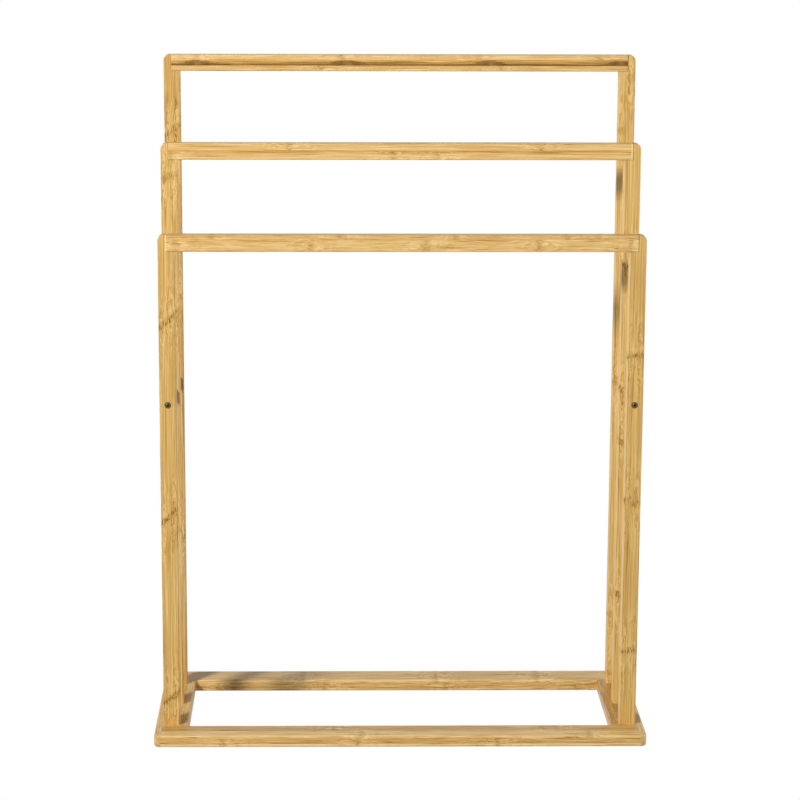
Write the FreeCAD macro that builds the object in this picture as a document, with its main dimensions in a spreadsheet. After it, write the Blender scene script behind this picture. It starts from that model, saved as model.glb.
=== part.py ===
import FreeCAD, Part
import Sketcher
import math
import os
import re

# Free-standing bamboo towel rack in millimetres: X across, Y from front to back, Z up,
# with the origin on the floor under the middle of the base.

SIZES = {
    # Base: two side rails, with a front and a rear rail let into rabbets in their ends
    "base_width": 600,
    "base_depth": 250,
    "base_thickness": 15,
    "side_rail_width": 40,
    "cross_rail_width": 38,
    "base_cheek": 8,
    "base_corner_radius": 7,
    "rail_edge_radius": 2.5,
    # Posts: set in from the sides of the base, each notched at the top for its bar
    "post_width": 20,
    "post_depth": 15,
    "post_setback": 10,
    "post_rail_gap": 1.5,
    "post_cheek": 9,
    "post_corner_radius": 7,
    "post_edge_radius": 1,
    "corner_wall_share": 0.9,
    # Inner arrises of the posts, rounded by a cutter that stops short of the bar
    "arris_radius": 1.2,
    "arris_stop": 13,
    "cutter_radius": 25,
    # Towel bars: the front one is the lowest, the others rise behind it
    "front_bar_top": 623,
    "tier_rise": 100,
    "bar_height": 20,
    "bar_depth": 16,
    "bar_edge_radius": 1.2,
    "bar_end_ease": 0.7,
    # Side rods, through the middle posts and screwed to the front and rear ones
    "rod_height": 417,
    "rod_diameter": 12,
    "rod_screw_diameter": 4,
    "rod_screw_head": 8,
    "rod_screw_length": 25,
    "rod_screw_socket": 2.5,
    "rod_screw_socket_depth": 1.6,
    "rod_insert_diameter": 7,
    # Loose tenons of the base corners, of the posts' feet and of the bars
    "corner_tenon_width": 8,
    "corner_tenon_thickness": 5,
    "corner_tenon_length": 40,
    "foot_tenon_width": 12,
    "foot_tenon_thickness": 6,
    "foot_tenon_length": 22,
    "foot_tenon_sink": 9.5,
    "bar_tenon_width": 8,
    "bar_tenon_thickness": 5,
    "bar_tenon_length": 20,
    "tenon_end_room": 0.5,
    # Fits of screws and tenons in their holes, and how far a cutter runs past a face
    "fit_clearance": 0.1,
    "screw_sink": 0.3,
    "tip_room": 1.7,
    "overrun": 1,
}

# Places that several pieces share, worked out from the sizes
POST_X = "(base_width / 2 - post_setback - post_width / 2)"
POST_STEP = "(base_depth / 2 - cross_rail_width - post_rail_gap - post_depth / 2)"
INNER_HALF = "(base_width / 2 - side_rail_width)"
SHOULDER_Y = "(base_depth / 2 - cross_rail_width)"
BAR_HALF = "(base_width / 2 - post_setback - post_cheek)"
BAR_TENON_X = f"({POST_X} - post_cheek / 2)"
CORNER_TENON_INSET = "((side_rail_width - post_setback - (post_width + foot_tenon_width) / 2) / 2)"
CORNER_TENON_X = f"({INNER_HALF} + {CORNER_TENON_INSET})"
ROD_HALF = f"({POST_STEP} - post_depth / 2)"
ROD_INSERT_LENGTH = "(rod_screw_length + screw_sink - post_depth + tip_room)"

# Each tier: name, place from front to back, height of the top of its bar
TIERS = (
    ("front", f"-{POST_STEP}", "front_bar_top"),
    ("middle", "0", "(front_bar_top + tier_rise)"),
    ("rear", POST_STEP, "(front_bar_top + 2 * tier_rise)"),
)

X_AXIS = FreeCAD.Vector(1, 0, 0)
Y_AXIS = FreeCAD.Vector(0, 1, 0)
Z_AXIS = FreeCAD.Vector(0, 0, 1)
AS_DRAWN = FreeCAD.Rotation()
HALF_TURN = FreeCAD.Rotation(Z_AXIS, 180)
FACING_FRONT = FreeCAD.Rotation(X_AXIS, 90)
FACING_BACK = FreeCAD.Rotation(X_AXIS, -90)

# Ends and centre of a line or an arc, as the sketcher counts them, and the sketch's own origin
START, END, CENTRE = 1, 2, 3
ORIGIN = -1
SAME = 1e-6

doc = FreeCAD.newDocument("TowelRack")
sheet = doc.addObject("Spreadsheet::Sheet", "Sheet")
for row, (alias, number) in enumerate(SIZES.items(), start=1):
    sheet.set(f"A{row}", alias)
    sheet.set(f"B{row}", str(number))
    sheet.setAlias(f"B{row}", alias)
doc.recompute()


# Sizes and sketches

def cells(text):
    """The expression with each size pointed at its cell of the sheet."""
    return re.sub(r"[a-z_]+", lambda word: f"Sheet.{word[0]}" if word[0] in SIZES else word[0], text)


def value(text):
    """The number that an expression comes to."""
    return float(sheet.evalExpression(cells(text)))


def drive(thing, name, text):
    """Bind a property of the thing to an expression in the sizes."""
    thing.setExpression(name, cells(text))


def new_body(label):
    """An empty body, named for its piece."""
    body = doc.addObject("PartDesign::Body", "Body")
    body.Label = label
    return body


def plane(body, role):
    """One of the body's own origin planes."""
    return next(feature for feature in body.Origin.OriginFeatures if feature.Role == role)


def new_sketch(body, name, role, lift="0"):
    """An empty sketch on an origin plane of the body, lifted along the plane's normal."""
    sketch = body.newObject("Sketcher::SketchObject", name)
    sketch.AttachmentSupport = (plane(body, role), [""])
    sketch.MapMode = "FlatFace"
    drive(sketch, "AttachmentOffset.Base.z", lift)
    return sketch


def pin(sketch, piece, point, across, up):
    """Hold a point of the sketch at its two distances from the sketch's origin."""
    for kind, text in (("DistanceX", across), ("DistanceY", up)):
        held = Sketcher.Constraint(kind, ORIGIN, START, piece, point, value(text))
        drive(sketch, f"Constraints[{sketch.addConstraint(held)}]", text)


def meet(sketch, piece, point, other, other_point):
    """Let two points of the sketch coincide."""
    sketch.addConstraint(Sketcher.Constraint("Coincident", piece, point, other, other_point))


def outline(sketch, corners):
    """A closed run of straight lines through corners given as pairs of expressions."""
    points = [FreeCAD.Vector(value(across), value(up)) for across, up in corners]
    ends = zip(points, points[1:] + points[:1])
    lines = [sketch.addGeometry(Part.LineSegment(start, end), False) for start, end in ends]
    for line, after, (across, up) in zip(lines[-1:] + lines[:-1], lines, corners):
        meet(sketch, line, END, after, START)
        pin(sketch, after, START, across, up)


def oblong(sketch, across, up, width, height):
    """An upright rectangle about a point, all given as expressions."""
    left, right = f"{across} - ({width}) / 2", f"{across} + ({width}) / 2"
    bottom, top = f"{up} - ({height}) / 2", f"{up} + ({height}) / 2"
    outline(sketch, ((left, bottom), (right, bottom), (right, top), (left, top)))


def circle(sketch, across, up, diameter):
    """A circle about a point given as a pair of expressions."""
    middle = FreeCAD.Vector(value(across), value(up))
    ring = sketch.addGeometry(Part.Circle(middle, Z_AXIS, value(diameter) / 2), False)
    pin(sketch, ring, CENTRE, across, up)
    held = Sketcher.Constraint("Diameter", ring, value(diameter))
    drive(sketch, f"Constraints[{sketch.addConstraint(held)}]", diameter)


def round_over_waste(sketch, across, up, out_across, out_up, radius):
    """What a round-over cutter takes off a corner whose two faces look out_across and out_up (1 or -1)."""
    inner_across = f"{across} - ({out_across}) * {radius}"
    outer_across = f"{across} + ({out_across}) * overrun"
    inner_up = f"{up} - ({out_up}) * {radius}"
    outer_up = f"{up} + ({out_up}) * overrun"
    corners = ((inner_across, up), (inner_across, outer_up), (outer_across, outer_up),
               (outer_across, inner_up), (across, inner_up))
    points = [FreeCAD.Vector(value(left), value(top)) for left, top in corners]
    ends = zip(points, points[1:])
    lines = [sketch.addGeometry(Part.LineSegment(start, end), False) for start, end in ends]
    for line, corner in zip(lines, corners):
        pin(sketch, line, START, *corner)
    pin(sketch, lines[-1], END, *corners[-1])
    for line, after in zip(lines, lines[1:]):
        meet(sketch, line, END, after, START)
    top_angle = math.atan2(out_up, 0)
    side_angle = math.atan2(0, out_across)
    side_first = out_across == out_up
    first_angle = side_angle if side_first else top_angle
    middle = FreeCAD.Vector(value(inner_across), value(inner_up))
    ring = Part.Circle(middle, Z_AXIS, value(radius))
    arc = sketch.addGeometry(Part.ArcOfCircle(ring, first_angle, first_angle + math.pi / 2), False)
    meet(sketch, arc, END if side_first else START, lines[0], START)
    meet(sketch, arc, START if side_first else END, lines[-1], END)
    held = Sketcher.Constraint("Radius", arc, value(radius))
    drive(sketch, f"Constraints[{sketch.addConstraint(held)}]", radius)


# Features

def pad(body, sketch, length, side="One side"):
    """Raise the sketch into a solid."""
    blank = body.newObject("PartDesign::Pad", "Blank")
    blank.Profile = sketch
    blank.SideType = side
    drive(blank, "Length", length)
    doc.recompute()


def revolve(body, corners):
    """Turn a half section, drawn as distances from the Z axis and heights, into a solid."""
    sketch = new_sketch(body, "HalfSection", "XZ_Plane")
    outline(sketch, corners)
    turned = body.newObject("PartDesign::Revolution", "Turned")
    turned.Profile = sketch
    turned.ReferenceAxis = (sketch, ["V_Axis"])
    turned.Angle = 360
    doc.recompute()


def take_away(body, kind, name, sketch, sizes, **choices):
    """Cut the sketch out of the body, which has to lose some of its volume."""
    doc.recompute()
    before = body.Shape.Volume
    tool = body.newObject(f"PartDesign::{kind}", name)
    tool.Profile = sketch
    for choice, setting in choices.items():
        setattr(tool, choice, setting)
    for size, text in sizes.items():
        drive(tool, size, text)
    doc.recompute()
    if body.Shape.Volume > before - SAME:
        raise ValueError(f"{name} takes nothing off {body.Label}")
    return tool


def drill(body, name, face, spots, diameter, depth=None, along_normal=False, rim=None):
    """Round holes at spots of a face (plane, lift): right through without a depth, countersunk to a rim."""
    sketch = new_sketch(body, f"{name}Spots", *face)
    for across, up in spots:
        circle(sketch, across, up, diameter)
    sizes = {"Diameter": diameter}
    choices = {"ThreadType": "None", "DepthType": "ThroughAll", "DrillPoint": "Flat",
               "Reversed": along_normal}
    if depth:
        choices["DepthType"] = "Dimension"
        sizes["Depth"] = depth
    if rim:
        choices["HoleCutType"] = "Countersink"
        choices["HoleCutCountersinkAngle"] = 90
        sizes["HoleCutDiameter"] = rim
    take_away(body, "Hole", name, sketch, sizes, **choices)


def mortise(body, name, face, spots, section, depth, along_normal=False):
    """Mortises at spots of a face (plane, lift) for a tenon of that section, across and up, with some room."""
    sketch = new_sketch(body, f"{name}Spots", *face)
    width, height = [f"{size} + 2 * fit_clearance" for size in section]
    for across, up in spots:
        oblong(sketch, across, up, width, height)
    take_away(body, "Pocket", name, sketch, {"Length": f"{depth} + tenon_end_room"}, Reversed=along_normal)


def round_edges(body, name, radius, axis, test):
    """Fillet the straight edges along the axis whose middle passes the test, on into smooth corners."""
    base = body.Tip
    names = []
    for number, edge in enumerate(base.Shape.Edges, start=1):
        straight = edge.Curve.TypeId == "Part::GeomLine"
        if straight and abs(edge.Curve.Direction.dot(axis)) > 1 - SAME and test(edge.CenterOfMass):
            names.append(f"Edge{number}")
    fillet = body.newObject("PartDesign::Fillet", name)
    fillet.Base = (base, names)
    drive(fillet, "Radius", radius)
    doc.recompute()


def at(number, text):
    """Whether a coordinate lies at the place that the expression gives."""
    return abs(number - value(text)) < SAME


def place(thing, across, along, up, turn=AS_DRAWN):
    """Put a piece at a place given as three expressions."""
    thing.Placement = FreeCAD.Placement(FreeCAD.Vector(), turn)
    for axis, text in zip("xyz", (across, along, up)):
        drive(thing, f"Placement.Base.{axis}", text)
    return thing


def group(label, pattern, places):
    """A node of like fastenings: one copy of the pattern at each place."""
    copies = []
    for spot in places:
        copy = doc.addObject("App::Link", "Copy")
        copy.LinkedObject = pattern
        copies.append(place(copy, *spot))
    joined = doc.addObject("Part::Compound", "Group")
    joined.Links = copies
    joined.Label = label
    return joined


# Wooden pieces

def side_rail(label, across, turn):
    """Side rail of the base, drawn as the left one: outer cheeks at both ends lap the cross rails."""
    body = new_body(label)
    outer, inner = "-side_rail_width / 2", "side_rail_width / 2"
    cheek = "base_cheek - side_rail_width / 2"
    end, shoulder = "base_depth / 2", SHOULDER_Y
    plan = new_sketch(body, "Plan", "XY_Plane")
    outline(plan, ((outer, f"-{end}"), (cheek, f"-{end}"), (cheek, f"-{shoulder}"), (inner, f"-{shoulder}"),
                   (inner, shoulder), (cheek, shoulder), (cheek, end), (outer, end)))
    pad(body, plan, "base_thickness")
    round_edges(body, "OuterCorners", "min(base_corner_radius; base_cheek * corner_wall_share)", Z_AXIS,
                lambda middle: at(middle.x, outer))
    round_edges(body, "RoundedEdges", "rail_edge_radius", Y_AXIS,
                lambda middle: at(middle.x, outer) or at(middle.x, inner))
    post = "post_setback + (post_width - side_rail_width) / 2"
    mortise(body, "FootMortises", ("XY_Plane", "base_thickness"), [(post, along) for _, along, _ in TIERS],
            ("foot_tenon_width", "foot_tenon_thickness"), "foot_tenon_sink")
    corner = (f"{inner} - {CORNER_TENON_INSET}", "base_thickness / 2")
    for end_name, lift, along_normal in (("Front", shoulder, False), ("Rear", f"-{shoulder}", True)):
        mortise(body, f"{end_name}Mortise", ("XZ_Plane", lift), [corner],
                ("corner_tenon_width", "corner_tenon_thickness"), "corner_tenon_length / 2", along_normal)
    return place(body, across, "0", "0", turn)


def cross_rail(label, along, turn):
    """Front or rear rail of the base, drawn as the front one: inner edges rounded between the side rails."""
    body = new_body(label)
    end, outer, inner = "(base_width / 2 - base_cheek)", "-cross_rail_width / 2", "cross_rail_width / 2"
    plan = new_sketch(body, "Plan", "XY_Plane")
    outline(plan, ((f"-{end}", outer), (end, outer), (end, inner), (f"-{end}", inner)))
    pad(body, plan, "base_thickness")
    round_edges(body, "OuterEdges", "rail_edge_radius", X_AXIS, lambda middle: at(middle.y, outer))
    for name, up, out_up in (("TopWaste", "base_thickness", 1), ("BottomWaste", "0", -1)):
        waste = new_sketch(body, name, "YZ_Plane")
        round_over_waste(waste, inner, up, 1, out_up, "rail_edge_radius")
        take_away(body, "Pocket", f"{name}Cut", waste, {"Length": f"2 * {INNER_HALF}"},
                  SideType="Symmetric")
    corners = [(f"{sign}{CORNER_TENON_X}", "base_thickness / 2") for sign in ("-", "")]
    mortise(body, "CornerMortises", ("XZ_Plane", f"-{inner}"), corners,
            ("corner_tenon_width", "corner_tenon_thickness"), "corner_tenon_length / 2", along_normal=True)
    return place(body, "0", along, "0", turn)


def post_blank(label, top):
    """Post without its rod hole, drawn as a left one: a cheek outside, and inside a shoulder for the bar."""
    body = new_body(label)
    outer, inner = "-post_width / 2", "post_width / 2"
    cheek = "post_cheek - post_width / 2"
    end = f"({top} - base_thickness)"
    shoulder = f"({end} - bar_height)"
    front_view = new_sketch(body, "FrontView", "XZ_Plane")
    outline(front_view, ((outer, "0"), (inner, "0"), (inner, shoulder),
                         (cheek, shoulder), (cheek, end), (outer, end)))
    pad(body, front_view, "post_depth", "Symmetric")
    round_edges(body, "TopCorner", "min(post_corner_radius; post_cheek * corner_wall_share)", Y_AXIS,
                lambda middle: at(middle.x, outer) and at(middle.z, end))
    round_edges(body, "OuterArrises", "post_edge_radius", Z_AXIS, lambda middle: at(middle.x, outer))
    # The inner arrises are rounded from the foot to the stop, where the cutter leaves its own curve
    arris = new_sketch(body, "ArrisWaste", "XY_Plane", f"{shoulder} - arris_stop")
    round_over_waste(arris, inner, "-post_depth / 2", 1, -1, "arris_radius")
    cutter_x, front, back = f"{inner} + cutter_radius", "-post_depth / 2", "post_depth / 2"
    axis_ends = [FreeCAD.Vector(value(cutter_x), value(along)) for along in (front, back)]
    axis = arris.addGeometry(Part.LineSegment(*axis_ends), True)
    pin(arris, axis, START, cutter_x, front)
    pin(arris, axis, END, cutter_x, back)
    run = take_away(body, "Pocket", "ArrisRun", arris, {}, Type="ThroughAll")
    run_out = take_away(body, "Groove", "ArrisRunOut", arris, {},
                        ReferenceAxis=(arris, ["Axis0"]), Angle=360)
    mirrored = body.newObject("PartDesign::Mirrored", "RearArris")
    mirrored.Originals = [run, run_out]
    mirrored.MirrorPlane = (plane(body, "XZ_Plane"), [""])
    body.Tip = mirrored
    doc.recompute()
    mortise(body, "BarMortise", ("XY_Plane", shoulder), [("post_cheek / 2", "0")],
            ("bar_tenon_thickness", "bar_tenon_width"), "bar_tenon_length / 2")
    mortise(body, "FootMortise", ("XY_Plane", "0"), [("0", "0")],
            ("foot_tenon_width", "foot_tenon_thickness"), "foot_tenon_length - foot_tenon_sink",
            along_normal=True)
    return body


def outer_post(label, across, along, top, turn, screw_faces_front):
    """Front or rear post, with a countersunk hole for the rod's screw."""
    body = post_blank(label, top)
    lift = "post_depth / 2" if screw_faces_front else "-post_depth / 2"
    drill(body, "RodScrewHole", ("XZ_Plane", lift), [("0", "rod_height - base_thickness")],
          "rod_screw_diameter + 2 * fit_clearance", along_normal=not screw_faces_front,
          rim="rod_screw_head + 2 * (screw_sink + fit_clearance)")
    return place(body, across, along, "base_thickness", turn)


def middle_post(label, across, along, top, turn):
    """Middle post, bored right through for the rod."""
    body = post_blank(label, top)
    drill(body, "RodHole", ("XZ_Plane", "post_depth / 2"), [("0", "rod_height - base_thickness")],
          "rod_diameter + 2 * fit_clearance")
    return place(body, across, along, "base_thickness", turn)


def towel_bar(label, along, top):
    """Towel bar that sits on the shoulders of its two posts, between their cheeks, its ends eased."""
    body = new_body(label)
    end, eased_end = BAR_HALF, f"({BAR_HALF} - bar_end_ease)"
    side, eased_side = "bar_depth / 2", "(bar_depth / 2 - bar_end_ease)"
    half_height = "bar_height / 2"
    plan = new_sketch(body, "Plan", "XY_Plane")
    outline(plan, ((f"-{end}", f"-{eased_side}"), (f"-{eased_end}", f"-{side}"),
                   (eased_end, f"-{side}"), (end, f"-{eased_side}"),
                   (end, eased_side), (eased_end, side), (f"-{eased_end}", side), (f"-{end}", eased_side)))
    pad(body, plan, "bar_height", "Symmetric")
    round_edges(body, "LongEdges", "bar_edge_radius", X_AXIS, lambda middle: True)
    ends = [(f"{sign}{BAR_TENON_X}", "0") for sign in ("-", "")]
    mortise(body, "Mortises", ("XY_Plane", f"-{half_height}"), ends,
            ("bar_tenon_thickness", "bar_tenon_width"), "bar_tenon_length / 2", along_normal=True)
    return place(body, "0", along, f"{top} - {half_height}")


def side_rod(label, across):
    """Round rod from the front post to the rear one, with the hole of a threaded insert in each end."""
    body = new_body(label)
    section = new_sketch(body, "Section", "XZ_Plane")
    circle(section, "0", "0", "rod_diameter")
    pad(body, section, f"2 * {ROD_HALF}", "Symmetric")
    for end, lift, along_normal in (("Front", ROD_HALF, False), ("Rear", f"-{ROD_HALF}", True)):
        drill(body, f"{end}InsertHole", ("XZ_Plane", lift), [("0", "0")],
              "rod_insert_diameter + 2 * fit_clearance", f"{ROD_INSERT_LENGTH} + fit_clearance", along_normal)
    return place(body, across, "0", "rod_height")


# Fastenings, each drawn once along Z

def rod_screw():
    """Countersunk screw with a hexagon socket, its head's top at the origin and its tip below."""
    body = new_body("rod_screw_pattern")
    radius, head = "rod_screw_diameter / 2", "rod_screw_head / 2"
    revolve(body, (("0", "0"), (head, "0"), (radius, f"{radius} - {head}"), (radius, "-rod_screw_length"),
                   ("0", "-rod_screw_length")))
    socket = new_sketch(body, "Socket", "XY_Plane")
    corner = "rod_screw_socket / (2 * cos(30 deg))"
    outline(socket, [(f"{corner} * cos({turn} deg)", f"{corner} * sin({turn} deg)")
                     for turn in range(0, 360, 60)])
    take_away(body, "Pocket", "SocketCut", socket, {"Length": "rod_screw_socket_depth"})
    return body


def rod_insert():
    """Threaded insert for the rod's screw, standing on the origin."""
    body = new_body("rod_insert_pattern")
    bore, outside = "rod_screw_diameter / 2 + fit_clearance", "rod_insert_diameter / 2"
    revolve(body, ((bore, "0"), (outside, "0"), (outside, ROD_INSERT_LENGTH), (bore, ROD_INSERT_LENGTH)))
    return body


def tenon(kind, across, along):
    """Flat loose tenon, standing on the origin."""
    body = new_body(f"{kind}_tenon_pattern")
    section = new_sketch(body, "Section", "XY_Plane")
    oblong(section, "0", "0", f"{kind}_tenon_{across}", f"{kind}_tenon_{along}")
    pad(body, section, f"{kind}_tenon_length")
    return body


# The assembly

LEFT, RIGHT = f"-{POST_X}", POST_X
RAIL_X = "(base_width - side_rail_width) / 2"
CROSS_RAIL_Y = "(base_depth - cross_rail_width) / 2"
SCREW_Y = f"({POST_STEP} + post_depth / 2 - screw_sink)"

nodes = [
    side_rail("base_side_rail_left", f"-{RAIL_X}", AS_DRAWN),
    side_rail("base_side_rail_right", RAIL_X, HALF_TURN),
    cross_rail("base_front_rail", f"-{CROSS_RAIL_Y}", AS_DRAWN),
    cross_rail("base_rear_rail", CROSS_RAIL_Y, HALF_TURN),
]
for tier, along, top in TIERS:
    for side, across, turn in (("left", LEFT, AS_DRAWN), ("right", RIGHT, HALF_TURN)):
        label = f"{tier}_post_{side}"
        if tier == "middle":
            nodes.append(middle_post(label, across, along, top, turn))
        else:
            # A right post is a left one turned round, which swaps its front and back
            screw_faces_front = (tier == "front") == (side == "left")
            nodes.append(outer_post(label, across, along, top, turn, screw_faces_front))
    nodes.append(towel_bar(f"{tier}_bar", along, top))
nodes.append(side_rod("side_rod_left", LEFT))
nodes.append(side_rod("side_rod_right", RIGHT))
nodes.append(group("rod_screws", rod_screw(),
                   [(across, along, "rod_height", turn) for across in (LEFT, RIGHT)
                    for along, turn in ((f"-{SCREW_Y}", FACING_FRONT), (SCREW_Y, FACING_BACK))]))
nodes.append(group("rod_inserts", rod_insert(),
                   [(across, along, "rod_height", turn) for across in (LEFT, RIGHT)
                    for along, turn in ((f"-{ROD_HALF}", FACING_BACK), (ROD_HALF, FACING_FRONT))]))
nodes.append(group("bar_tenons", tenon("bar", "thickness", "width"),
                   [(f"{sign}{BAR_TENON_X}", along, f"{top} - bar_height - bar_tenon_length / 2")
                    for sign in ("-", "") for _, along, top in TIERS]))
nodes.append(group("foot_tenons", tenon("foot", "width", "thickness"),
                   [(across, along, "base_thickness - foot_tenon_sink") for across in (LEFT, RIGHT)
                    for _, along, _ in TIERS]))
nodes.append(group("corner_tenons", tenon("corner", "width", "thickness"),
                   [(f"{sign}{CORNER_TENON_X}", f"{end}{SHOULDER_Y} + corner_tenon_length / 2",
                     "base_thickness / 2", FACING_FRONT) for sign in ("-", "") for end in ("-", "")]))
doc.recompute()

# Nothing is written unless every feature worked and every piece is sound
failed = [thing.Label for thing in doc.Objects if "Invalid" in thing.State or "Error" in thing.State]
failed += [node.Label for node in nodes if node.Shape.isNull() or not node.Shape.isValid()]
if failed:
    raise RuntimeError(f"failed: {failed}")
os.makedirs("parts", exist_ok=True)
for node in nodes:
    node.Shape.exportStep(f"parts/{node.Label}.step")
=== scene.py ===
import math

import bpy
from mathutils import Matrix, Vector

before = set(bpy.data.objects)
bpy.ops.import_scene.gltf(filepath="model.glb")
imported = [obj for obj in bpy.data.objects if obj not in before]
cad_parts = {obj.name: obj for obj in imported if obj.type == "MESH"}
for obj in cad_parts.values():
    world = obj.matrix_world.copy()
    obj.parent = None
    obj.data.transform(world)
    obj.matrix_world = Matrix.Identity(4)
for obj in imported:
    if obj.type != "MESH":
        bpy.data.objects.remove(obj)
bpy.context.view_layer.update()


# Base side rails: two flat runners on the floor, left and right, that carry the three posts each.
# Each is laminated from bamboo strips, planed, rounded over along its edges and clear-lacquered.
# A rabbet at each end takes the cross rail, and leaves a thin cheek of end grain at the corner.
MILLIMETRES_PER_METRE = 1000.0
MOST_KNUCKLES = 5
FAR_AWAY = 9999.0
EVERYWHERE = (-FAR_AWAY, FAR_AWAY)


def tint(red, green, blue):
    """A colour given as the eye sees it on a screen, 0 to 255, for a shader socket."""
    def linear(level):
        """The screen's sRGB curve, undone."""
        share = level / 255.0
        return share / 12.92 if share <= 0.04045 else ((share + 0.055) / 1.055) ** 2.4
    return (linear(red), linear(green), linear(blue), 1.0)


def feed(tree, value, socket):
    """Links a socket into another, or sets a plain value on it."""
    if isinstance(value, bpy.types.NodeSocket):
        tree.links.new(value, socket)
    else:
        socket.default_value = value


def work_out(tree, operation, *values, clamp=False):
    """One Math node, and its result."""
    step = tree.nodes.new("ShaderNodeMath")
    step.operation = operation
    step.use_clamp = clamp
    for value, socket in zip(values, step.inputs):
        feed(tree, value, socket)
    return step.outputs[0]


def times(tree, first, second):
    """The product of two values."""
    return work_out(tree, "MULTIPLY", first, second)


def plus_share(tree, base, value, share):
    """The base with a share of another value added to it."""
    return work_out(tree, "MULTIPLY_ADD", value, share, base)


def rescale(tree, value, low, high, to_low=0.0, to_high=1.0, smooth=False):
    """The value moved from one range to another, and held inside it."""
    step = tree.nodes.new("ShaderNodeMapRange")
    step.interpolation_type = "SMOOTHSTEP" if smooth else "LINEAR"
    for place, entry in enumerate((value, low, high, to_low, to_high)):
        feed(tree, entry, step.inputs[place])
    return step.outputs[0]


def bell(tree, distance, reach):
    """1 where the distance is nothing, falling away smoothly over the reach."""
    share = work_out(tree, "DIVIDE", distance, reach)
    squared = times(tree, share, share)
    return work_out(tree, "EXPONENT", times(tree, squared, -1.0))


def point(tree, x, y, z):
    """Three values put together as a vector."""
    step = tree.nodes.new("ShaderNodeCombineXYZ")
    for value, socket in zip((x, y, z), step.inputs):
        feed(tree, value, socket)
    return step.outputs[0]


def cloud(tree, x, y, z, detail=1.0):
    """Noise about 0 with a reach of roughly 1 either way, read at the place given."""
    step = tree.nodes.new("ShaderNodeTexNoise")
    feed(tree, point(tree, x, y, z), step.inputs["Vector"])
    step.inputs["Scale"].default_value = 1.0
    step.inputs["Detail"].default_value = detail
    spread = 3.6
    return work_out(tree, "MULTIPLY_ADD", step.outputs[0], spread, -0.5 * spread)


def mix(tree, kind, share, first, second):
    """A Mix node for one kind of value, Float or Color, and its result."""
    step = tree.nodes.new("ShaderNodeMix")
    step.data_type = {"Float": "FLOAT", "Color": "RGBA"}[kind]
    sockets = {socket.identifier: socket for socket in (*step.inputs, *step.outputs)}
    feed(tree, share, sockets["Factor_Float"])
    feed(tree, first, sockets[f"A_{kind}"])
    feed(tree, second, sockets[f"B_{kind}"])
    return sockets[f"Result_{kind}"]


def blend(tree, share, first, second):
    """Two colours mixed by a share."""
    return mix(tree, "Color", share, first, second)


def choose(tree, share, first, second):
    """The first value, or the second where the share is 1."""
    return mix(tree, "Float", share, first, second)


def new_group(name, takes, gives):
    """An empty shader node group with named sockets: the group, what comes in and what goes out."""
    group = bpy.data.node_groups.new(name, "ShaderNodeTree")
    for label, default in takes.items():
        kind = "NodeSocketColor" if isinstance(default, tuple) else "NodeSocketFloat"
        socket = group.interface.new_socket(name=label, in_out="INPUT", socket_type=kind)
        socket.default_value = default
    for label in gives:
        kind = "NodeSocketColor" if label == "Colour" else "NodeSocketFloat"
        group.interface.new_socket(name=label, in_out="OUTPUT", socket_type=kind)
    comes_in = group.nodes.new("NodeGroupInput").outputs
    goes_out = group.nodes.new("NodeGroupOutput").inputs
    return group, comes_in, goes_out


def place_group(tree, group, **values):
    """Puts a node group into a material; underscores in the names stand for spaces."""
    step = tree.nodes.new("ShaderNodeGroup")
    step.node_tree = group
    for label, value in values.items():
        feed(tree, value, step.inputs[label.replace("_", " ")])
    return step.outputs


def make_lay_up():
    """How a laminated stick is glued up: which strip a place belongs to, and how far its knuckle is."""
    takes = {"Along": 0.0, "Across": 0.0, "Through": 0.0, "Strip Width": 20.0, "Strip Thickness": 5.0,
             "Shift Across": 0.0, "Shift Through": 0.0, "Piece": 0.0, "Knuckle Spacing": 190.0}
    gives = ("Strip Tone", "Place In Strip", "Knuckle Distance", "Glue Line")
    group, come, go = new_group("lay_up", takes, gives)

    def count_strips(side, shift, width):
        """Which strip a place is in, counted along one side, where in it, and how far from its edge."""
        shifted = work_out(group, "ADD", come[side], come[shift])
        share = work_out(group, "DIVIDE", shifted, come[width])
        count = work_out(group, "FLOOR", share)
        place = work_out(group, "SUBTRACT", share, count)
        to_edge = work_out(group, "MINIMUM", place, work_out(group, "SUBTRACT", 1.0, place))
        return count, place, times(group, to_edge, come[width])

    row, place_in_strip, to_row_edge = count_strips("Across", "Shift Across", "Strip Width")
    layer, _, to_layer_edge = count_strips("Through", "Shift Through", "Strip Thickness")
    chance = group.nodes.new("ShaderNodeTexWhiteNoise")
    feed(group, point(group, row, layer, come["Piece"]), chance.inputs["Vector"])
    chances = group.nodes.new("ShaderNodeSeparateColor")
    feed(group, chance.outputs["Color"], chances.inputs[0])
    knuckles = work_out(group, "DIVIDE", come["Along"], come["Knuckle Spacing"])
    knuckles = work_out(group, "ADD", knuckles, chances.outputs[0])
    past_nearest = work_out(group, "SUBTRACT", knuckles, work_out(group, "ROUND", knuckles))
    to_glue = work_out(group, "MINIMUM", to_row_edge, to_layer_edge)
    glue_width = 0.18
    feed(group, chance.outputs["Value"], go["Strip Tone"])
    feed(group, place_in_strip, go["Place In Strip"])
    feed(group, times(group, past_nearest, come["Knuckle Spacing"]), go["Knuckle Distance"])
    feed(group, rescale(group, to_glue, 0.0, glue_width, 1.0, 0.0), go["Glue Line"])
    return group


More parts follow.
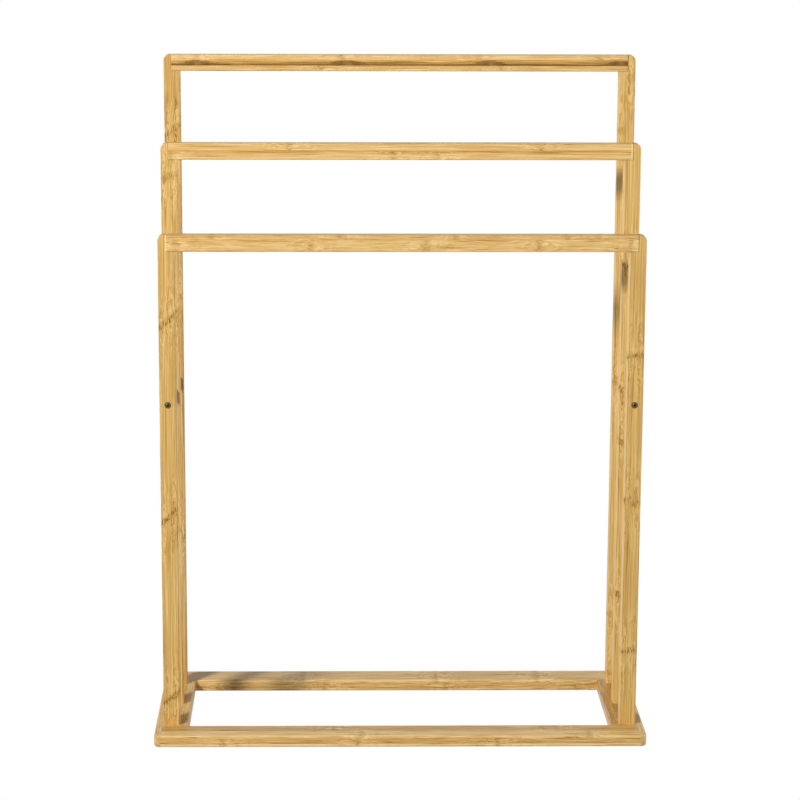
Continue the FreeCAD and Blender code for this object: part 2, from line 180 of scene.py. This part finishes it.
def make_knuckle_places():
    """Distance along a strip to the nearest of its knuckles, the old joints of the bamboo cane."""
    labels = [f"Knuckle {number}" for number in range(1, MOST_KNUCKLES + 1)]
    takes = {"Along": 0.0}
    for label in labels:
        takes[label] = FAR_AWAY
    group, come, go = new_group("knuckle_places", takes, ("Knuckle Distance",))
    nearest = FAR_AWAY
    for label in labels:
        gap = work_out(group, "SUBTRACT", come["Along"], come[label])
        gap_length = work_out(group, "ABSOLUTE", gap)
        nearest_length = work_out(group, "ABSOLUTE", nearest)
        closer = work_out(group, "LESS_THAN", gap_length, nearest_length)
        nearest = choose(group, closer, nearest, gap)
    feed(group, nearest, go["Knuckle Distance"])
    return group


def make_bamboo():
    """Bamboo under clear lacquer: long fibres, leaf shapes and dark flecks at the knuckles, end grain.

    Lengths are in millimetres. A place's tone picks its colour, from Deep over Body to Pale."""
    takes = {"Along": 0.0, "Across": 0.0, "Through": 0.0, "Piece": 0.0, "Strip Tone": 0.5,
             "Place In Strip": 0.5, "Knuckle Distance": FAR_AWAY, "Knuckle Mark": 1.0, "Glue Line": 0.0,
             "End Grain": 0.0, "Swirl": 8.0, "Flames": 0.75, "Flame Reach": 27.0, "Contrast": 1.0,
             "Fibre Length": 1.0, "Dark Lines": 0.7,
             "Pale": tint(236, 203, 141), "Body": tint(213, 174, 105), "Streak": tint(192, 146, 74),
             "Brown": tint(134, 90, 38), "Deep": tint(78, 46, 10)}
    gives = ("Colour", "Roughness", "Height")
    group, come, go = new_group("bamboo", takes, gives)
    along, across, through = come["Along"], come["Across"], come["Through"]
    knuckle = come["Knuckle Distance"]
    step_between_pieces = 37.3
    start = times(group, come["Piece"], step_between_pieces)
    stretched = work_out(group, "DIVIDE", along, come["Fibre Length"])

    def waves(onward, aside, inward, length, width, depth=None, detail=1.0):
        """Noise whose waves have a length along the fibres, a width across them and a depth."""
        onward = work_out(group, "DIVIDE", onward, length)
        aside = work_out(group, "DIVIDE", aside, width)
        inward = work_out(group, "DIVIDE", inward, depth or width)
        return cloud(group, work_out(group, "ADD", onward, start), aside, inward, detail)

    # The fibres wander a little everywhere, and twist and dive where the cane had a knuckle.
    twist = waves(along, across, through, length=9.0, width=4.5)
    lazy = waves(along, across, through, length=60.0, width=9.0)
    lazy_reach = 0.8
    twist_reach = 0.16
    twist_in_dive = 0.2
    crown_fall = 0.75
    off_middle = work_out(group, "MULTIPLY_ADD", come["Place In Strip"], 2.0, -1.0)
    crown = plus_share(group, 1.0, times(group, off_middle, off_middle), -crown_fall)
    flame = bell(group, knuckle, come["Flame Reach"])
    reach = times(group, flame, come["Swirl"])
    dive = times(group, reach, plus_share(group, crown, twist, twist_in_dive))
    aside = plus_share(group, across, lazy, lazy_reach)
    aside = plus_share(group, aside, times(group, reach, twist), twist_reach)

    # Fibres: broad bands, streaks and hairs, with thin dark and pale lines among them.
    band_share = 0.17
    streak_share = 0.32
    hair_share = 0.19
    pale_line_share = 0.5
    dark_line_start = 0.3
    dark_line_full = 0.7
    pale_line_start = -0.3
    pale_line_full = -0.8
    bands = waves(stretched, aside, through, length=420.0, width=2.2)
    streaks = waves(stretched, aside, through, length=44.0, width=1.1, detail=1.5)
    hairs = waves(stretched, aside, through, length=22.0, width=0.36)
    dark_lines = waves(stretched, through, aside, length=60.0, width=0.8)
    dark_lines = rescale(group, dark_lines, dark_line_start, dark_line_full, smooth=True)
    pale_lines = waves(stretched, through, aside, length=40.0, width=1.1)
    pale_lines = rescale(group, pale_lines, pale_line_start, pale_line_full, smooth=True)
    grain = times(group, bands, band_share)
    grain = plus_share(group, grain, streaks, streak_share)
    grain = plus_share(group, grain, hairs, hair_share)
    grain = work_out(group, "SUBTRACT", grain, times(group, dark_lines, come["Dark Lines"]))
    grain = plus_share(group, grain, pale_lines, pale_line_share)

    # Near a knuckle the fibres calm down a little, and leaf shapes and a pale swirl join them.
    calm_reach = 18.0
    calm_share = 0.1
    leaf_lift = 0.05
    swirl_place = 6.5
    swirl_reach = 4.0
    swirl_lift = 0.1
    swirl_share = 0.3
    calm = bell(group, knuckle, calm_reach)
    grain = times(group, grain, plus_share(group, 1.0, calm, -calm_share))
    dived = work_out(group, "ADD", through, dive)
    leaves = waves(along, across, dived, length=60.0, width=7.0, depth=1.0, detail=2.0)
    leaves = plus_share(group, leaf_lift, leaves, come["Flames"])
    grain = plus_share(group, grain, leaves, flame)
    swirl = bell(group, work_out(group, "SUBTRACT", knuckle, swirl_place), swirl_reach)
    grain = plus_share(group, grain, plus_share(group, swirl_lift, twist, swirl_share), swirl)
    tone = plus_share(group, come["Strip Tone"], grain, come["Contrast"])

    # The knuckle itself: a ragged ridge of dark flecks in a stain.
    ridge_wander = 2.4
    ridge_reach = 3.6
    fleck_start = -0.3
    fleck_full = 0.7
    stain_reach = 5.0
    stain_share = 0.35
    wander = waves(along, across, through, length=30.0, width=2.2)
    ridge = bell(group, plus_share(group, knuckle, wander, ridge_wander), ridge_reach)
    specks = waves(along, across, through, length=5.0, width=1.5)
    flecks = times(group, rescale(group, specks, fleck_start, fleck_full, smooth=True), ridge)
    marks = work_out(group, "MULTIPLY", flecks, come["Knuckle Mark"], clamp=True)
    stain = times(group, bell(group, knuckle, stain_reach), stain_share)

    # Colour: the tone first, then the knuckle, the glue lines and the pores of the end grain.
    body_tone = 0.5
    pale_tone = 1.0
    streak_tone = 0.0
    brown_tone = -0.7
    deep_start = -0.85
    deep_tone = -1.6
    glue_share = 0.3
    end_share = 0.2
    pore_share = 0.5
    pore_start = 0.1
    pore_full = 0.8
    pores = waves(along, aside, through, length=400.0, width=0.24)
    pores = rescale(group, pores, pore_start, pore_full, smooth=True)
    ends = times(group, come["End Grain"], plus_share(group, end_share, pores, pore_share))
    colour = blend(group, rescale(group, tone, body_tone, streak_tone), come["Body"], come["Streak"])
    colour = blend(group, rescale(group, tone, streak_tone, brown_tone), colour, come["Brown"])
    colour = blend(group, rescale(group, tone, deep_start, deep_tone), colour, come["Deep"])
    colour = blend(group, rescale(group, tone, body_tone, pale_tone), colour, come["Pale"])
    colour = blend(group, stain, colour, come["Streak"])
    colour = blend(group, marks, colour, come["Brown"])
    colour = blend(group, times(group, come["Glue Line"], glue_share), colour, come["Brown"])
    colour = blend(group, ends, colour, come["Brown"])
    feed(group, colour, go["Colour"])

    # Surface: satin, a little rougher in the hairs and on the ends, with the flecks sunk in.
    satin = 0.52
    hair_roughness = 0.03
    end_roughness = 0.12
    streak_height = 0.3
    hair_height = 0.5
    fleck_depth = 0.8
    roughness = plus_share(group, satin, hairs, hair_roughness)
    feed(group, plus_share(group, roughness, come["End Grain"], end_roughness), go["Roughness"])
    height = plus_share(group, times(group, hairs, hair_height), streaks, streak_height)
    feed(group, plus_share(group, height, flecks, -fleck_depth), go["Height"])
    return group


lay_up = make_lay_up()
knuckle_places = make_knuckle_places()
bamboo = make_bamboo()


def strip(across=EVERYWHERE, through=EVERYWHERE, along=EVERYWHERE, tone=0.5, far_tone=None, knuckles=(),
          slant=0.0, dark_up_to=None):
    """One bamboo strip that shows: where it lies, its tone at the two edges, and its knuckles.

    The slant is a knuckle line's rise for each millimetre across the strip. A strip cut from near the
    bark is dark along its lower edge, up to a height that swells at the knuckles."""
    tones = (tone, tone if far_tone is None else far_tone)
    return {"across": across, "through": through, "along": along, "tones": tones, "knuckles": knuckles,
            "slant": slant, "dark_up_to": dark_up_to}


def show_strip(tree, seen, sides, tone, in_strip, distance):
    """Lets a strip that shows take the place of the usual ones: its tone, place and knuckle distance."""
    along, across, _ = sides
    inside = 1.0
    for side, (low, high) in zip(sides, (seen["along"], seen["across"], seen["through"])):
        inside = times(tree, inside, work_out(tree, "GREATER_THAN", side, low))
        inside = times(tree, inside, work_out(tree, "LESS_THAN", side, high))
    own_tone = rescale(tree, across, *seen["across"], *seen["tones"])
    own_place = rescale(tree, across, *seen["across"])
    own_distance = distance
    if seen["knuckles"]:
        listed = {f"Knuckle_{number}": place for number, place in enumerate(seen["knuckles"], 1)}
        off_middle = work_out(tree, "SUBTRACT", across, sum(seen["across"]) / 2)
        level = plus_share(tree, along, off_middle, -seen["slant"])
        own_distance = place_group(tree, knuckle_places, Along=level, **listed)["Knuckle Distance"]
    if seen["dark_up_to"]:
        swell_reach = 15.0
        swell_height = 3.0
        soft_edge = 2.2
        bark_darkness = 1.0
        swell_darkness = 0.6
        swell = bell(tree, own_distance, swell_reach)
        edge = plus_share(tree, seen["dark_up_to"], swell, swell_height)
        above = work_out(tree, "SUBTRACT", across, edge)
        bark = rescale(tree, above, -soft_edge, soft_edge, 1.0, 0.0)
        darkness = plus_share(tree, -bark_darkness, swell, -swell_darkness)
        own_tone = plus_share(tree, own_tone, bark, darkness)
    return (choose(tree, inside, tone, own_tone),
            choose(tree, inside, in_strip, own_place),
            choose(tree, inside, distance, own_distance))


def new_finish(name):
    """A new material, its node tree and its shader."""
    finish = bpy.data.materials.new(name)
    finish.use_nodes = True
    return finish, finish.node_tree, finish.node_tree.nodes["Principled BSDF"]


def place_in_rack(tree):
    """Where a place on the surface lies in the rack: right, back and up, in millimetres."""
    places = tree.nodes.new("ShaderNodeTexCoord")
    metres = tree.nodes.new("ShaderNodeSeparateXYZ")
    feed(tree, places.outputs["Object"], metres.inputs[0])
    return [times(tree, side, MILLIMETRES_PER_METRE) for side in metres.outputs]


def bamboo_finish(name, grain, piece, strips, shifts=(0.0, 0.0), shown=(), **look):
    """Lacquered bamboo for one stick. Grain names the axes along, across and through it.

    Piece is the stick's own number, so that no two have the same grain. Strips gives the usual width and
    thickness, shifts moves their seams, and shown lists strips that are given one by one."""
    finish, tree, shader = new_finish(name)
    axes = ["XYZ".index(axis) for axis in grain]
    rack_sides = place_in_rack(tree)
    sides = [rack_sides[axis] for axis in axes]
    along, across, through = sides
    surface = tree.nodes.new("ShaderNodeNewGeometry")
    facing = tree.nodes.new("ShaderNodeSeparateXYZ")
    feed(tree, surface.outputs["Normal"], facing.inputs[0])
    facing_end = work_out(tree, "ABSOLUTE", facing.outputs[axes[0]])
    end_start = 0.75
    end_full = 0.95
    end_grain = rescale(tree, facing_end, end_start, end_full, smooth=True)
    glued = place_group(tree, lay_up, Along=along, Across=across, Through=through, Piece=piece,
                        Strip_Width=strips[0], Strip_Thickness=strips[1],
                        Shift_Across=shifts[0], Shift_Through=shifts[1])
    darkest_strip = 0.33
    palest_strip = 0.67
    tone = rescale(tree, glued["Strip Tone"], 0.0, 1.0, darkest_strip, palest_strip)
    in_strip = glued["Place In Strip"]
    distance = glued["Knuckle Distance"]
    for seen in shown:
        tone, in_strip, distance = show_strip(tree, seen, sides, tone, in_strip, distance)
    wood = place_group(tree, bamboo, Along=along, Across=across, Through=through, Piece=piece,
                       Strip_Tone=tone, Place_In_Strip=in_strip, Knuckle_Distance=distance,
                       Glue_Line=glued["Glue Line"], End_Grain=end_grain, **look)
    feed(tree, wood["Colour"], shader.inputs["Base Color"])
    feed(tree, wood["Roughness"], shader.inputs["Roughness"])
    grain_depth = 0.1
    relief = tree.nodes.new("ShaderNodeBump")
    relief.inputs["Strength"].default_value = 0.12
    relief.inputs["Distance"].default_value = grain_depth / MILLIMETRES_PER_METRE
    feed(tree, wood["Height"], relief.inputs["Height"])
    feed(tree, relief.outputs["Normal"], shader.inputs["Normal"])
    shader.inputs["Specular IOR Level"].default_value = 0.25
    shader.inputs["Coat Weight"].default_value = 0.45
    shader.inputs["Coat Roughness"].default_value = 0.18
    return finish


def dress(node, finish):
    """Gives a carried-over solid its finish in every slot."""
    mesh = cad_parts[node].data
    mesh.materials.clear()
    mesh.materials.append(finish)


rail_lay_up = (22.0, 6.0)
rail_rise = 1.5
past_rail_top = 16.0
rail_top_layer = (10.5, past_rail_top)
side_rail_middle = 280.0
side_rail_look = {"Knuckle_Mark": 0.4}
left_rail_bamboo = bamboo_finish("side_rail_left_bamboo", "YXZ", 1.0, rail_lay_up,
                                 shifts=(side_rail_middle, rail_rise), **side_rail_look)
dress("base_side_rail_left", left_rail_bamboo)
dark_inner_strip = strip(across=(258.0, side_rail_middle), through=rail_top_layer, tone=-0.08)
right_rail_bamboo = bamboo_finish("side_rail_right_bamboo", "YXZ", 2.0, rail_lay_up,
                                  shifts=(-side_rail_middle, rail_rise), shown=(dark_inner_strip,),
                                  **side_rail_look)
dress("base_side_rail_right", right_rail_bamboo)


# Base cross rails: the front and rear members that close the base frame between the side rails.
# They are laminated bamboo like the runners, and their ends are glued into the runners' rabbets.
# The strips below end a millimetre past the rails' faces, so that no face is missed.
rail_seam = 108.2
past_inner_face = 86.0
past_outer_face = 126.0
past_rail_underside = -1.0
cross_rail_look = {"Knuckle_Mark": 0.6, "Contrast": 1.4}

front_back_half = (-rail_seam, -past_inner_face)
front_half = (-past_outer_face, -rail_seam)
front_knuckles = (-216.0, -52.0, 118.0)
front_rail_strips = (
    strip(across=front_back_half, through=rail_top_layer, tone=0.2, knuckles=(-81.0, 190.0)),
    strip(across=front_half, through=(14.6, past_rail_top), tone=0.7, knuckles=(-48.0, 230.0)),
    strip(across=front_half, through=(11.4, 14.6), tone=0.55, knuckles=(-50.0, 230.0)),
    strip(across=front_half, through=(4.5, 11.4), tone=0.24, knuckles=front_knuckles),
    strip(across=front_half, through=(past_rail_underside, 4.5), tone=0.85, knuckles=front_knuckles))
front_rail_bamboo = bamboo_finish("front_rail_bamboo", "XYZ", 3.0, rail_lay_up,
                                  shifts=(rail_seam, rail_rise), shown=front_rail_strips,
                                  **cross_rail_look)
dress("base_front_rail", front_rail_bamboo)

rear_whole = (past_inner_face, past_outer_face)
rear_front_half = (past_inner_face, 106.4)
rear_knuckles = (-231.0, -94.0, 64.0, 235.0)
rear_rail_strips = (
    strip(across=rear_whole, through=(11.0, past_rail_top), tone=0.6, knuckles=(-122.0, 51.0, 182.0)),
    strip(across=rear_front_half, through=(4.0, 11.0), tone=0.36, knuckles=rear_knuckles),
    strip(across=rear_front_half, through=(past_rail_underside, 4.0), tone=0.55, knuckles=rear_knuckles))
rear_rail_bamboo = bamboo_finish("rear_rail_bamboo", "XYZ", 4.0, rail_lay_up,
                                 shifts=(-rail_seam, rail_rise), shown=rear_rail_strips,
                                 **cross_rail_look)
dress("base_rear_rail", rear_rail_bamboo)


# Posts: six square-cut sticks, three a side, whose rounded tops are notched for the towel bars.
# Each is laminated bamboo, two strips wide, and stands on the runner, glued over a loose tenon.
# Left and right list the heights of the knuckles on the two strips, and mark says how dark they are.
post_look = {"Pale": tint(226, 190, 120), "Body": tint(205, 166, 92), "Streak": tint(184, 138, 64),
             "Brown": tint(144, 98, 16), "Flame_Reach": 42.0, "Fibre_Length": 2.2, "Dark_Lines": 0.4}
post_lay_up = (12.5, 7.5)
post_layer_shift = 3.75
post_middle = 280.0
post_half = 10.0
past_face = 1.0
seam_off_middle = 1.5
painted_highlight_width = 0.8
painted_highlight_tone = 1.2
left_strip_slope = 0.05
right_strip_slope = 0.1
front_contrast = 1.3
other_contrast = 1.7
first_post_piece = 5.0
posts = {
    "front_post_left": {"tone": 0.40, "mark": 2.6, "slant": 0.85,
                        "left": (515.0, 273.0, 45.0), "right": (524.0, 284.0, 54.0)},
    "front_post_right": {"tone": 0.40, "mark": 1.2, "slant": 0.15,
                         "left": (477.0, 299.0, 108.0), "right": (478.0, 296.0, 110.0)},
    "middle_post_left": {"tone": 0.62, "mark": 0.8, "slant": 0.5,
                         "left": (681.0, 430.0, 228.0), "right": (684.0, 517.0, 240.0)},
    "middle_post_right": {"tone": 0.60, "mark": 2.2, "slant": -0.7,
                          "left": (574.0, 418.0, 354.0, 158.0), "right": (566.0, 410.0, 150.0)},
    "rear_post_left": {"tone": 0.30, "mark": 1.2, "slant": 0.8,
                       "left": (725.0, 400.0, 150.0), "right": (734.0, 520.0, 210.0)},
    "rear_post_right": {"tone": 0.56, "mark": 0.5, "slant": 0.0,
                        "left": (730.0, 412.0, 109.0, 30.0), "right": (796.0, 560.0, 250.0)},
}
for number, (post, marks) in enumerate(posts.items()):
    middle = -post_middle if post.endswith("left") else post_middle
    left_face = middle - post_half
    right_face = middle + post_half
    seam = middle - seam_off_middle
    tone = marks["tone"]
    seen = [strip(across=(left_face - past_face, seam), knuckles=marks["left"], slant=marks["slant"],
                  tone=tone - left_strip_slope, far_tone=tone + left_strip_slope),
            strip(across=(seam, right_face + past_face), knuckles=marks["right"], slant=marks["slant"],
                  tone=tone + right_strip_slope, far_tone=tone - right_strip_slope)]
    # Painted highlight: the right posts get a pale band along their inner face and front arris, which
    # face the high lamp.
    if post.endswith("right"):
        seen.append(strip(across=(left_face - past_face, left_face + painted_highlight_width), tone=painted_highlight_tone))
    contrast = front_contrast if post.startswith("front") else other_contrast
    post_bamboo = bamboo_finish(f"{post}_bamboo", "ZXY", first_post_piece + number, post_lay_up,
                                shifts=(-seam, post_layer_shift), shown=seen, Contrast=contrast,
                                Knuckle_Mark=marks["mark"], **post_look)
    dress(post, post_bamboo)


# Towel bars: three laminated bamboo bars, one above and behind the other, that the towels hang on.
# Each sits in the notches of its two posts and is glued over a loose tenon at each end.
# Painted shade darkens each right end where it meets its post. A pale painted highlight marks the
# front bar's left end, and a pale line the middle bar's right end.
bar_look = {"Knuckle_Mark": 0.5, "Flames": 0.55, "Streak": tint(198, 147, 68)}
bar_layer = 5.4
# Painted shade: a dark line at each bar's right end, where it meets its post.
painted_end_shade = strip(along=(280.0, 282.0), tone=-0.6)

front_bar_seam = 618.0
front_bar_strips = (
    strip(across=(602.0, front_bar_seam), tone=0.55, knuckles=(-268.0, -109.0, 28.0, 162.0, 270.0)),
    strip(across=(front_bar_seam, 624.0), tone=0.42, knuckles=(-226.0, -73.0, 62.0, 195.0, 234.0)),
    # Painted highlight: a pale line on the front bar's left end, whose edge faces the high lamp.
    strip(along=(-282.0, -279.2), tone=1.3),
    painted_end_shade)
front_bar_bamboo = bamboo_finish("front_bar_bamboo", "XZY", 11.0, (17.0, bar_layer),
                                 shifts=(-front_bar_seam, 0.0), shown=front_bar_strips, Fibre_Length=0.75,
                                 **bar_look)
dress("front_bar", front_bar_bamboo)

middle_bar_seam = 714.5
middle_bar_line = 709.0
lower_knuckles = (-278.0, -10.0, 44.0)
middle_bar_strips = (
    strip(across=(middle_bar_seam, 724.0), tone=0.62, knuckles=(-135.0, 170.0)),
    strip(across=(middle_bar_line, middle_bar_seam), tone=0.60, far_tone=-0.10, knuckles=lower_knuckles),
    strip(across=(702.0, middle_bar_line), tone=0.62, knuckles=lower_knuckles),
    strip(along=(277.8, 280.0), tone=1.2),
    painted_end_shade)
middle_bar_bamboo = bamboo_finish("middle_bar_bamboo", "XZY", 12.0, (13.0, bar_layer),
                                  shifts=(-middle_bar_seam, 0.0), shown=middle_bar_strips,
                                  Fibre_Length=1.8, Contrast=1.25, **bar_look)
dress("middle_bar", middle_bar_bamboo)

rear_bar_seam = 809.8
rear_bar_upper_seam = 817.0
rear_bar_strips = (
    strip(across=(rear_bar_upper_seam, 824.0), tone=0.65, knuckles=(-250.0, -72.0, 97.0, 245.0)),
    strip(across=(rear_bar_seam, rear_bar_upper_seam), tone=0.25, knuckles=(-249.0, -65.0, 113.0, 272.0),
          dark_up_to=813.2),
    strip(across=(802.0, rear_bar_seam), tone=0.45, knuckles=(-98.0, 125.0)),
    painted_end_shade)
rear_bar_bamboo = bamboo_finish("rear_bar_bamboo", "XZY", 13.0, (7.2, bar_layer),
                                shifts=(-rear_bar_seam, 0.0), shown=rear_bar_strips, Fibre_Length=1.2,
                                Brown=tint(128, 91, 34), **bar_look)
dress("rear_bar", rear_bar_bamboo)


# Side rods: a round turned bamboo stick on each side that ties the three posts together.
# It passes through the middle post and butts against the front and rear posts.
# It is turned from one thick strip, so no seam shows.
rod_lay_up = (40.0, 40.0)
rod_shift = 20.0
first_rod_piece = 14.0
for number, side in enumerate(("left", "right")):
    rod_bamboo = bamboo_finish(f"side_rod_{side}_bamboo", "YXZ", first_rod_piece + number, rod_lay_up,
                               shifts=(rod_shift, 0.0))
    dress(f"side_rod_{side}", rod_bamboo)


# Hidden hardwood tenons: flat loose tongues glued into mortises in the bars, posts and rails.
# They never show once the rack is together, and are plain planed beech.
def tenon_finish():
    """Planed beech, with short fine flecks."""
    finish, tree, shader = new_finish("tenon_beech")
    flecks_per_millimetre = (0.9, 0.9, 0.12)
    places = [times(tree, side, count) for side, count in zip(place_in_rack(tree), flecks_per_millimetre)]
    flecks = cloud(tree, *places, detail=2.0)
    beech_pink = tint(206, 165, 122)
    beech_pale = tint(226, 190, 148)
    colour = blend(tree, rescale(tree, flecks, -1.0, 1.0), beech_pink, beech_pale)
    feed(tree, colour, shader.inputs["Base Color"])
    feed(tree, rescale(tree, flecks, -1.0, 1.0, to_low=0.55, to_high=0.7), shader.inputs["Roughness"])
    return finish


beech = tenon_finish()
for node in ("bar_tenons", "foot_tenons", "corner_tenons"):
    dress(node, beech)


# Rod screws and inserts: countersunk hexagon-socket screws through the front and rear posts.
# They are dark plated steel, with a browner rim of painted reflection and shade, a socket of painted
# black shade and a painted glint, and run into plain brass inserts that are set in the ends of the rods.
SPECK_RANGE = (-0.2, 1.2)
screw_aside = 280.0
screw_height = 417.0


def screw_finish():
    """Dark plated steel, speckled: a browner rim of painted reflection and shade, a socket of painted
    black shade, and one painted glint.
    """
    finish, tree, shader = new_finish("screw_steel")
    right, back, up = place_in_rack(tree)
    own_side = times(tree, work_out(tree, "SIGN", right), screw_aside)
    aside = work_out(tree, "SUBTRACT", right, own_side)
    above = work_out(tree, "SUBTRACT", up, screw_height)

    def from_point(x, z):
        """Distance on the head's face from a point beside the screw's axis."""
        squares = []
        for value, place in ((aside, x), (above, z)):
            gap = work_out(tree, "SUBTRACT", value, place)
            squares.append(times(tree, gap, gap))
        return work_out(tree, "SQRT", work_out(tree, "ADD", *squares))

    rim_start = 2.2
    rim_full = 3.4
    socket_edge = 1.7
    socket_full = 1.3
    # Painted highlight: a pale glint up and to the left of the socket, and how far it reaches.
    glint_spot = (-1.3, 1.2)
    glint_reach = 0.7
    steel = tint(100, 88, 64)
    steel_speck = tint(132, 118, 90)
    # Painted reflection and shade: the rim is browned for the wood mirrored in the head and the shaded
    # countersink.
    rim_painted_reflection = tint(130, 104, 58)
    # Painted shade: the socket is painted black for the shade in its recess.
    socket_painted_shade = tint(22, 20, 18)
    painted_glint = tint(200, 190, 164)
    radius = from_point(0.0, 0.0)
    specks = cloud(tree, aside, back, above, detail=2.0)
    rim = rescale(tree, radius, rim_start, rim_full, smooth=True)
    socket = rescale(tree, radius, socket_edge, socket_full, smooth=True)
    glint_share = bell(tree, from_point(*glint_spot), glint_reach)
    colour = blend(tree, rescale(tree, specks, *SPECK_RANGE), steel, steel_speck)
    colour = blend(tree, rim, colour, rim_painted_reflection)
    colour = blend(tree, socket, colour, socket_painted_shade)
    colour = blend(tree, glint_share, colour, painted_glint)
    feed(tree, colour, shader.inputs["Base Color"])
    feed(tree, rescale(tree, specks, -1.0, 1.0, to_low=0.3, to_high=0.5), shader.inputs["Roughness"])
    shader.inputs["Metallic"].default_value = 0.85
    return finish


def insert_finish():
    """Plain brass, with fine pale specks."""
    finish, tree, shader = new_finish("insert_brass")
    specks_per_millimetre = 1.4
    places = [times(tree, side, specks_per_millimetre) for side in place_in_rack(tree)]
    specks = cloud(tree, *places, detail=2.0)
    brass = tint(178, 142, 76)
    brass_speck = tint(214, 184, 118)
    colour = blend(tree, rescale(tree, specks, *SPECK_RANGE), brass, brass_speck)
    feed(tree, colour, shader.inputs["Base Color"])
    feed(tree, rescale(tree, specks, -1.0, 1.0, to_low=0.25, to_high=0.4), shader.inputs["Roughness"])
    shader.inputs["Metallic"].default_value = 1.0
    return finish


dress("rod_screws", screw_finish())
dress("rod_inserts", insert_finish())


# Floor: a plain pale studio floor, pure white to the eye as in a cut-out picture.
# It is not part of the rack, and gives back a soft light from below.
floor_reach = 9.0
floor_grey = 0.55
floor_mirrored_level = 0.6
floor_sheet = bpy.data.meshes.new("floor")
floor_corners = [(-floor_reach, -floor_reach, 0.0), (floor_reach, -floor_reach, 0.0),
                 (floor_reach, floor_reach, 0.0), (-floor_reach, floor_reach, 0.0)]
floor_sheet.from_pydata(floor_corners, [], [(0, 1, 2, 3)])
floor = bpy.data.objects.new("floor", floor_sheet)
bpy.context.scene.collection.objects.link(floor)
floor_white, floor_tree, floor_shader = new_finish("floor_white")
floor_shader.inputs["Base Color"].default_value = (floor_grey, floor_grey, floor_grey, 1.0)
floor_shader.inputs["Roughness"].default_value = 0.9
floor_rays = floor_tree.nodes.new("ShaderNodeLightPath")
floor_seen = floor_rays.outputs["Is Camera Ray"]
floor_mirrored = floor_rays.outputs["Is Glossy Ray"]
white = floor_tree.nodes.new("ShaderNodeEmission")
mirrored_white = times(floor_tree, floor_mirrored, floor_mirrored_level)
feed(floor_tree, work_out(floor_tree, "MAXIMUM", floor_seen, mirrored_white), white.inputs["Strength"])
lit_or_white = floor_tree.nodes.new("ShaderNodeMixShader")
feed(floor_tree, work_out(floor_tree, "MAXIMUM", floor_seen, floor_mirrored), lit_or_white.inputs[0])
feed(floor_tree, floor_shader.outputs[0], lit_or_white.inputs[1])
feed(floor_tree, white.outputs[0], lit_or_white.inputs[2])
feed(floor_tree, lit_or_white.outputs[0], floor_tree.nodes["Material Output"].inputs["Surface"])
floor_sheet.materials.append(floor_white)


# Studio light: a soft lamp high on the left in front, wide ones low on the right and behind.
# The high lamp draws the posts' shadows to the right and back over the runners.
# The wide lamps and a dim white room soften those shadows.
rack_middle = Vector((0.0, 0.0, 0.40))


def hang_lamp(name, place, width, height, power, mirrored=True):
    """A soft lamp turned towards the middle of the rack, which the lacquer may mirror or not."""
    light = bpy.data.lights.new(name, "AREA")
    light.shape = "ELLIPSE"
    light.size = width
    light.size_y = height
    light.energy = power
    lamp = bpy.data.objects.new(name, light)
    lamp.visible_glossy = mirrored
    lamp.location = place
    lamp.rotation_euler = (rack_middle - Vector(place)).to_track_quat("-Z", "Y").to_euler()
    bpy.context.scene.collection.objects.link(lamp)


hang_lamp("key_lamp", place=(-2.54, -2.76, 2.57), width=0.75, height=0.75, power=190.0)
hang_lamp("fill_lamp", place=(2.95, -0.80, 0.50), width=1.6, height=1.6, power=54.0)
hang_lamp("back_lamp", place=(-0.20, 3.20, 0.20), width=2.0, height=0.3, power=68.0, mirrored=False)

room_glow = 0.08
room_shine = 0.7
room = bpy.data.worlds.new("white_room")
room.use_nodes = True
room_tree = room.node_tree
room_rays = room_tree.nodes.new("ShaderNodeLightPath")
room_level = plus_share(room_tree, room_glow, room_rays.outputs["Is Glossy Ray"], room_shine - room_glow)
room_level = work_out(room_tree, "MAXIMUM", room_level, room_rays.outputs["Is Camera Ray"])
room_walls = room_tree.nodes["Background"]
room_walls.inputs["Color"].default_value = (1.0, 1.0, 1.0, 1.0)
feed(room_tree, room_level, room_walls.inputs["Strength"])
bpy.context.scene.world = room
bpy.context.scene.view_settings.view_transform = "Standard"


# Camera: a long lens in front of the rack, a little left of its middle and above it.
# The focal length and the principal point are in pixels, and the turns in degrees.
# The shift frames the rack as the picture does.
picture_side = 800.0
focal_length = 2561.29
principal = (371.0, 370.0)
sensor = 36.0
camera_place = (-0.08264, -3.08467, 1.07538)
camera_turns = (78.4137, -0.1697, -0.8405)
sight_end = 60.0
eye = bpy.data.cameras.new("camera")
eye.sensor_width = sensor
eye.lens = focal_length / picture_side * sensor
eye.shift_x = (picture_side / 2 - principal[0]) / picture_side
eye.shift_y = (principal[1] - picture_side / 2) / picture_side
eye.clip_end = sight_end
camera = bpy.data.objects.new("camera", eye)
camera.location = camera_place
camera.rotation_euler = [math.radians(turn) for turn in camera_turns]
bpy.context.scene.collection.objects.link(camera)
bpy.context.scene.camera = camera
